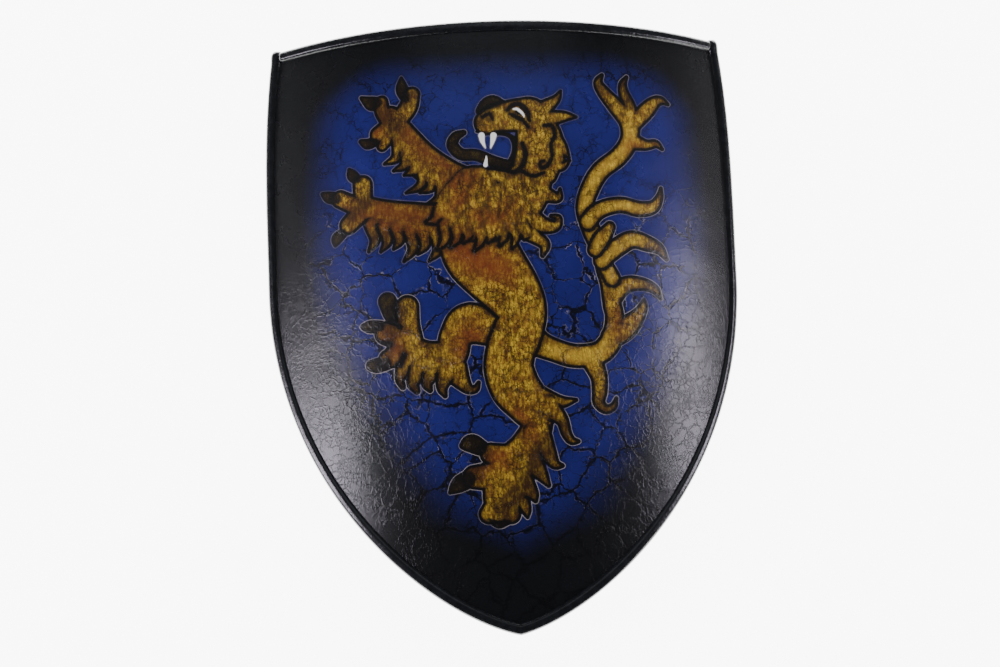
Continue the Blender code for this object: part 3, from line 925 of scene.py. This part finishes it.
def board_piece(p, name, upper, material):
    """Half of the board as one closed shell: a fine front grid, a coarse back grid and walls.

    A point is (t half(y), y + arch(t) lift(y)), t from -1 to 1: half is the inset rim line's
    half width at that height, and arch raises the top rows to the top edge's curve. The front
    goes down by up to twice BOARD_WAVE, as one minus a product of bent sines.
    """
    inset = p.rim_width / 2 - EDGE_TUCK
    side = side_line(p, 300)
    along = directions(side)
    side = side + np.stack([along[:, 1], -along[:, 0]], 1) * inset
    top_corner_x = side[0, 0]
    corner_y = p.top_rise * (1 - (top_corner_x / p.corner_half_width) ** 2) - inset
    tip_y = side[:, 1][side[:, 0] > TIP_GAP].min()
    high, low = (corner_y, -SPLIT_DROP) if upper else (-SPLIT_DROP, tip_y)
    rows = ROWS_UPPER if upper else ROWS_LOWER
    y = np.linspace(low, high, rows)
    half = np.interp(-y, -side[:, 1], side[:, 0])
    lift = np.clip((y + SPLIT_DROP) / (corner_y + SPLIT_DROP), 0, 1) ** 3

    def layer(columns, z):
        t = np.linspace(-1, 1, columns)
        x = half[:, None] * t
        arch = p.top_rise * (1 - (x / p.corner_half_width) ** 2) - inset - corner_y
        return x, y[:, None] + arch * lift[:, None], np.full_like(x, z)

    fine = STRIPS * COLUMNS_PER_STRIP + 1
    coarse = STRIPS + 1
    fx, fy, fz = layer(fine, p.board_thickness / 2)
    bx, by, bz = layer(coarse, -p.board_thickness / 2)
    wave = np.sin(31 * fx + 3 * np.sin(23 * fy)) * np.cos(37 * fy + 2 * np.sin(19 * fx))
    fz = fz - BOARD_WAVE + BOARD_WAVE * wave
    points = np.vstack([rolled(p, fx, fy, fz).reshape(-1, 3), rolled(p, bx, by, bz).reshape(-1, 3)])
    base = rows * fine
    faces = grid_faces(rows, fine) + grid_faces(rows, coarse, first=base, flip=True)
    for r in range(rows - 1):
        a, b = r * fine, base + r * coarse
        faces.append([a, a + fine, b + coarse, b])
        a, b = a + fine - 1, b + coarse - 1
        faces.append([a + fine, a, b, b + coarse])
    for c in range(STRIPS):
        run = [c * COLUMNS_PER_STRIP + k for k in range(COLUMNS_PER_STRIP + 1)]
        faces.append(run[::-1] + [base + c, base + c + 1])
        last = (rows - 1) * fine
        back = base + (rows - 1) * coarse
        faces.append([last + k for k in run] + [back + c + 1, back + c])
    item = make_mesh(name, points, faces, material, ["board"])
    paint_board(p, item, rolled(p, fx, fy, fz).reshape(-1, 3), fx.ravel(), fy.ravel(), len(points))
    return item


def paint_board(p, item, places, x, y, total):
    """Store the drawing's fields on the front's vertices, and plain values on the back's."""
    across = places[:, 0] - LION_CENTRE[0]
    up = places[:, 1] - corner_line(p) - LION_CENTRE[1]
    at = np.stack([across * math.cos(LION_TURN) - up * math.sin(LION_TURN),
                   across * math.sin(LION_TURN) + up * math.cos(LION_TURN)], 1) / LION_STEP
    lion, ink, dark, white = lion_fields(at)
    count = len(at)
    rust = soft_areas(at, RUST_AREAS, 5.0)
    umber = np.maximum(soft_areas(at, UMBER_AREAS, 3.0), soft_areas(at, fur_strokes(), 0.8) * 0.9)
    umber = np.maximum(umber, soft_areas(at, BROWN_AREAS, 4.0) * 0.42)
    drops, halves = np.array(BLUE_EDGE).T
    half = np.interp(-y, drops, halves)
    slope = np.interp(-y, drops, np.gradient(halves, drops))
    aside = (np.abs(x - BLUE_SHIFT) - half) / np.sqrt(1 + slope ** 2)
    above = (y + BLUE_TOP_DROP) * BLUE_FADE / BLUE_TOP_FADE
    beyond = np.hypot(np.maximum(aside + BLUE_CORNER, 0), np.maximum(above + BLUE_CORNER, 0)) - BLUE_CORNER
    upper = np.clip((y + UPPER_BLACK_DROP) / UPPER_BLACK_FADE, 0, 1)
    blackness = np.clip(beyond / BLUE_FADE + 0.5 + UPPER_BLACK * upper, 0, 1)
    low_part = np.clip((-y - CRACKED_DROP) / CRACKED_FADE, 0, 1)
    lit = soft_areas(at, LIT_AREAS, 2.5)
    fields = (lion, ink, dark, white, rust, umber, lit, blackness, low_part, np.ones(count))
    for (name, behind), values in zip(SKIN_FIELDS.items(), fields):
        add_attribute(item, name, np.concatenate([values, np.full(total - count, behind)]))


def rim_section(p, arc_steps):
    """Section of the strip: straight sides with a half circle at the front and at the back.

    The front is worn flat: with h the sine, c the wear's height and k its blend, all over the
    radius, it is -k log(e^(-h/k) + e^(-c/k)).
    """
    radius = p.rim_width / 2
    straight = p.rim_depth / 2 - radius
    turn = np.linspace(0, math.pi, arc_steps)
    circle = np.stack([np.cos(turn), np.sin(turn)], 1)
    blend = RIM_WEAR_BLEND
    flat = -blend * np.log(np.exp(-circle[:, 1] / blend) + math.exp(-RIM_WEAR_HEIGHT / blend))
    front = np.stack([circle[:, 0] * radius, straight + flat * radius], 1)
    back = -circle * radius - (0, straight)
    return np.vstack([front, back])


def rim_piece(p, name, line, ends, knob, material, nodes):
    """Strip swept along a line: line + section across, with ends rounded over their last bit.

    Near an end the section shrinks by a power of 1 - (1 - d/r)^2, d being the distance to
    the end and r the rounding, so that the end is closed like a bullet's nose. The knob
    swells it by a bell curve just before that. Its depth varies by RIM_WAVE, as a product of
    two sines.
    """
    section = rim_section(p, RIM_ARC_STEPS) * RIM_INSIDE
    along = directions(line)
    across = np.stack([-along[:, 1], along[:, 0]], 1)
    run = run_along(line)
    d = np.minimum(run, run[-1] - run)
    shrink = np.sqrt(np.clip(1 - (1 - np.clip(d / ends, 0, 1)) ** 2, 0.0004, 1)) ** 0.6
    shrink = shrink * (1 + knob * np.exp(-((d - RIM_KNOB_PLACE) / RIM_KNOB_LENGTH) ** 2))
    off = section[:, 0][None] * shrink[:, None]
    x = line[:, :1] + across[:, :1] * off
    y = line[:, 1:] + across[:, 1:] * off
    z = section[:, 1][None] * shrink[:, None]
    z = z * (1 + RIM_WAVE * np.sin(160 * run) * np.sin(47 * run + 1))[:, None]
    points = rolled(p, x, y, z)
    rows, columns = x.shape
    faces = grid_faces(rows, columns, flip=True, wrap=True)
    faces.append(list(range(columns)))
    faces.append([(rows - 1) * columns + k for k in reversed(range(columns))])
    item = make_mesh(name, points, faces, material, nodes, sharp=60)
    add_attribute(item, "wrinkled", np.full(rows * columns, SIDE_FOLDS if knob else TOP_FOLDS))
    return item


def evenly(line, step, ends):
    """Points along a line, a step apart, closer together over both ends' rounding."""
    run = run_along(line)
    near = ends * (1 - np.cos(np.linspace(0, math.pi / 2, 8)))
    middle = np.arange(near[-1] + step, run[-1] - near[-1], step)
    at = np.concatenate([near, middle, run[-1] - near[::-1]])
    return np.stack([np.interp(at, run, line[:, k]) for k in (0, 1)], 1)


class SHIELD_OT_board(bpy.types.Operator):
    """Make the painted board"""

    bl_idname = "shield.board"
    bl_label = "Painted board"

    def execute(self, context):
        p = context.scene.shield_shape
        material = painted_skin(context.scene.shield_paint)
        board_piece(p, "board_upper_half", True, material)
        board_piece(p, "board_lower_half", False, material)
        return {"FINISHED"}


class SHIELD_OT_rims(bpy.types.Operator):
    """Make the rim strips"""

    bl_idname = "shield.rims"
    bl_label = "Rim strips"

    def execute(self, context):
        p = context.scene.shield_shape
        material = rim_skin(context.scene.shield_paint)
        right = side_line(p, 200)
        along = directions(right)[0]
        end = right[0] - along * (p.rim_width / 2 + p.rim_end_proud)
        right = np.vstack([end, right])
        round_trip = np.vstack([right, right[::-1][1:] * (-1, 1)])
        rim_piece(p, "rim_side_strip", evenly(round_trip, RIM_STEP, RIM_ROUNDING), RIM_ROUNDING, RIM_KNOB,
                  material, ["rim_side"])
        top = top_line(p, 400)
        cut = np.abs(top[:, 0]) < p.corner_half_width - p.rim_width / 2 + EDGE_TUCK
        rim_piece(p, "rim_top_strip", evenly(top[cut], RIM_STEP, RIM_BUTT_ROUNDING), RIM_BUTT_ROUNDING, 0.0,
                  material, ["rim_top"])
        return {"FINISHED"}


def strap_path(p, span, reach):
    """Strap's centre line, along and away from the board: foot, loop, foot.

    In the loop the distance is half the thickness plus the reach times the sine of pi t to
    the power of one and a half, t from 0 to 1.
    """
    free = span / 2 - p.strap_foot
    t = np.linspace(0, 1, 110)
    loop = np.stack([free * (2 * t - 1), p.strap_thickness / 2 + reach * np.sin(math.pi * t) ** 1.5], 1)
    foot = np.linspace(0, 1, 14)[:-1, None]
    start = np.array([(-span / 2, p.strap_thickness / 2)])
    left = start + foot * (loop[:1] - start)
    right = left[::-1] * (-1, 1)
    return np.vstack([left, loop, right])


def strap_piece(p, node, across, width, span, reach, material):
    """Ribbon along the strap's path, with rounded edges and rounded corners at its ends.

    A section point is (T/2 |sin a|^0.35, W/2 |cos a|^0.35) with the signs of sine and
    cosine, a going once round.
    """
    path = strap_path(p, span, reach)
    run = run_along(path)
    tangent = directions(path)
    normal = np.stack([-tangent[:, 1], tangent[:, 0]], 1)
    a = np.linspace(0, 2 * math.pi, 48, endpoint=False)
    thick = p.strap_thickness * 0.485 * np.sign(np.sin(a)) * np.abs(np.sin(a)) ** 0.35
    wide = width * 0.497 * np.sign(np.cos(a)) * np.abs(np.cos(a)) ** 0.35
    d = np.minimum(run, run[-1] - run)
    rounded = np.sqrt(np.clip(1 - (1 - np.clip(d / STRAP_CORNER, 0, 1)) ** 2, 0, 1))
    narrow = (width / 2 - STRAP_CORNER + rounded * STRAP_CORNER) / (width / 2)
    u = path[:, :1] + normal[:, :1] * thick
    away_by = path[:, 1:] + normal[:, 1:] * thick
    aside = wide[None] * narrow[:, None]
    inside = p.bend_radius - p.board_thickness / 2
    facet = 2 * (p.widest_half_width - p.rim_width / 2 - p.fit_gap) / STRIPS
    seat = (width ** 2 + facet ** 2) / 8 / inside + p.fit_gap
    turn = across / p.bend_radius
    away = np.array((-math.sin(turn), 0, -math.cos(turn)))
    along = np.array((0, 1, 0))
    sideways = np.cross(along, away)
    origin = np.array((0, corner_line(p) - p.strap_drop, bend_axis(p))) - away * (inside - seat)
    points = origin + u[..., None] * along + away_by[..., None] * away + aside[..., None] * sideways
    rows, columns = u.shape
    faces = grid_faces(rows, columns, wrap=True)
    faces.append(list(reversed(range(columns))))
    faces.append([(rows - 1) * columns + k for k in range(columns)])
    item = make_mesh(node + "_leather", points, faces, material, [node], sharp=50)
    add_attribute(item, "along", np.repeat(run, columns))
    add_attribute(item, "margin", (width / 2 - np.abs(aside)).ravel())
    return item


class SHIELD_OT_fittings(bpy.types.Operator):
    """Finish the straps and screws on the back"""

    bl_idname = "shield.fittings"
    bl_label = "Straps and screws"

    def execute(self, context):
        paint = context.scene.shield_paint
        leather = strap_leather(paint)
        steel = screw_steel(paint)
        p = context.scene.shield_shape
        strap_piece(p, "forearm_strap", p.forearm_across, p.forearm_width, p.forearm_span,
                    p.forearm_reach, leather)
        strap_piece(p, "grip_strap", p.grip_across, p.grip_width, p.grip_span, p.grip_reach, leather)
        for name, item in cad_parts.items():
            if "screw" in name:
                item.data.materials.clear()
                item.data.materials.append(steel)
        return {"FINISHED"}


# Studio: each light's name, place, point it faces, size, share of the power and tint


FLOOR_REACH = 40.0
FLOOR_COLOUR = (0.88, 0.88, 0.89, 1)
AIR_COLOUR = (0.9, 0.93, 1.0, 1)
AIR_STRENGTH = 0.07
WARM = (1.0, 0.98, 0.95)
LILAC = (0.93, 0.87, 1.0)
COOL = (0.85, 0.92, 1.0)
PLAIN = (1.0, 1.0, 1.0)
UNMIRRORED_LIGHTS = [
    ("top box", (0, 2.05, 1.75), (0, 0, 0), (3.0, 1.6), 1.0, WARM),
    ("tip box", (0, -2.40, 1.45), (0, 0, 0), (2.6, 1.4), 0.4, WARM),
]
MIRRORED_LIGHTS = [
    ("left strip", (-1.78, -0.25, 1.00), (-0.2, -0.06, 0.05), (0.42, 0.85), 2.85, LILAC),
    ("right strip", (1.74, -0.04, 0.96), (0.2, -0.02, 0.05), (0.56, 0.46), 1.5, LILAC),
    ("ceiling", (0, 1.9, 2.6), (0, 0.3, 0), (2.6, 1.8), 0.76, COOL),
    ("corner box", (1.70, -1.00, 0.48), (0.25, 0.36, 0.05), (0.4, 0.3), 1.0, PLAIN),
]


class SHIELD_OT_stage(bpy.types.Operator):
    """Make the floor, the camera and the lights"""

    bl_idname = "shield.stage"
    bl_label = "Studio"

    def execute(self, context):
        p = context.scene.shield_shape
        s = context.scene.shield_stage
        camera_at(p, s)
        floor = bpy.data.meshes.new("floor")
        r = FLOOR_REACH
        floor.from_pydata([(-r, -r, 0), (r, -r, 0), (r, r, 0), (-r, r, 0)], [], [(0, 1, 2, 3)])
        item = bpy.data.objects.new("floor", floor)
        context.scene.collection.objects.link(item)
        kit = Kit("white floor")
        kit.shader.inputs["Base Color"].default_value = FLOOR_COLOUR
        kit.shader.inputs["Roughness"].default_value = 0.8
        kit.shader.inputs["Emission Color"].default_value = (1.0, 1.0, 1.0, 1)
        kit.shader.inputs["Emission Strength"].default_value = s.floor_glow
        floor.materials.append(kit.material)
        for name, place, target, size, share, tint in UNMIRRORED_LIGHTS:
            soft_box(name, place, target, size, s.box_power * share, tint, False)
        for name, place, target, size, share, tint in MIRRORED_LIGHTS:
            soft_box(name, place, target, size, s.strip_power * share, tint, True)
        world = bpy.data.worlds.new("studio air")
        world.use_nodes = True
        air = world.node_tree.nodes["Background"]
        air.inputs["Color"].default_value = AIR_COLOUR
        air.inputs["Strength"].default_value = AIR_STRENGTH
        context.scene.world = world
        return {"FINISHED"}


def camera_at(p, s):
    """Place the camera by its distance and angles from the point that it looks at."""
    ca, sa = math.cos(s.aside), math.sin(s.aside)
    ce, se = math.cos(s.tipwards), math.sin(s.tipwards)
    back = Vector((sa * ce, -se, ca * ce))
    right = Vector((ca, 0, -sa))
    up = back.cross(right)
    cr, sr = math.cos(s.roll), math.sin(s.roll)
    right, up = right * cr + up * sr, up * cr - right * sr
    chord = rolled(p, np.array(p.widest_half_width), np.array(-s.aim_drop), np.array(0.0))
    aim = Vector((s.aim_across, float(chord[1]), float(chord[2])))
    place = Matrix((right, up, back)).transposed().to_4x4()
    place.translation = aim + back * s.distance
    lens = bpy.data.cameras.new("camera")
    lens.lens = s.lens
    lens.sensor_width = 36
    camera = bpy.data.objects.new("camera", lens)
    bpy.context.scene.collection.objects.link(camera)
    camera.matrix_world = place
    bpy.context.scene.camera = camera


def soft_box(name, place, target, size, power, tint, mirrored):
    """Add a rectangular light that faces a point, and is or isn't mirrored by glossy paint."""
    lamp = bpy.data.lights.new(name, "AREA")
    lamp.shape = "RECTANGLE"
    lamp.size, lamp.size_y = size
    lamp.energy = power
    lamp.color = tint
    item = bpy.data.objects.new(name, lamp)
    bpy.context.scene.collection.objects.link(item)
    item.location = place
    item.visible_glossy = mirrored
    item.rotation_euler = (Vector(place) - Vector(target)).to_track_quat("Z", "Y").to_euler()


class SHIELD_PT_panel(bpy.types.Panel):
    """Sizes, colours and steps of the shield"""

    bl_label = "Heater shield"
    bl_space_type = "VIEW_3D"
    bl_region_type = "UI"
    bl_category = "Shield"

    def draw(self, context):
        for group in (context.scene.shield_shape, context.scene.shield_paint, context.scene.shield_stage):
            for name in group.__annotations__:
                self.layout.prop(group, name)
        for step in STEPS:
            self.layout.operator(step.bl_idname)


STEPS = (SHIELD_OT_stage, SHIELD_OT_board, SHIELD_OT_rims, SHIELD_OT_fittings)
CLASSES = (ShieldShape, ShieldPaint, ShieldStage, *STEPS, SHIELD_PT_panel)


def register():
    """Register the classes and the property groups."""
    for item in CLASSES:
        bpy.utils.register_class(item)
    bpy.types.Scene.shield_shape = bpy.props.PointerProperty(type=ShieldShape)
    bpy.types.Scene.shield_paint = bpy.props.PointerProperty(type=ShieldPaint)
    bpy.types.Scene.shield_stage = bpy.props.PointerProperty(type=ShieldStage)


def unregister():
    """Remove the property groups and the classes."""
    del bpy.types.Scene.shield_shape
    del bpy.types.Scene.shield_paint
    del bpy.types.Scene.shield_stage
    for item in reversed(CLASSES):
        bpy.utils.unregister_class(item)


def main():
    """Make every piece."""
    register()
    bpy.ops.shield.stage()
    bpy.ops.shield.board()
    bpy.ops.shield.rims()
    bpy.ops.shield.fittings()


if __name__ == "__main__":
    main()
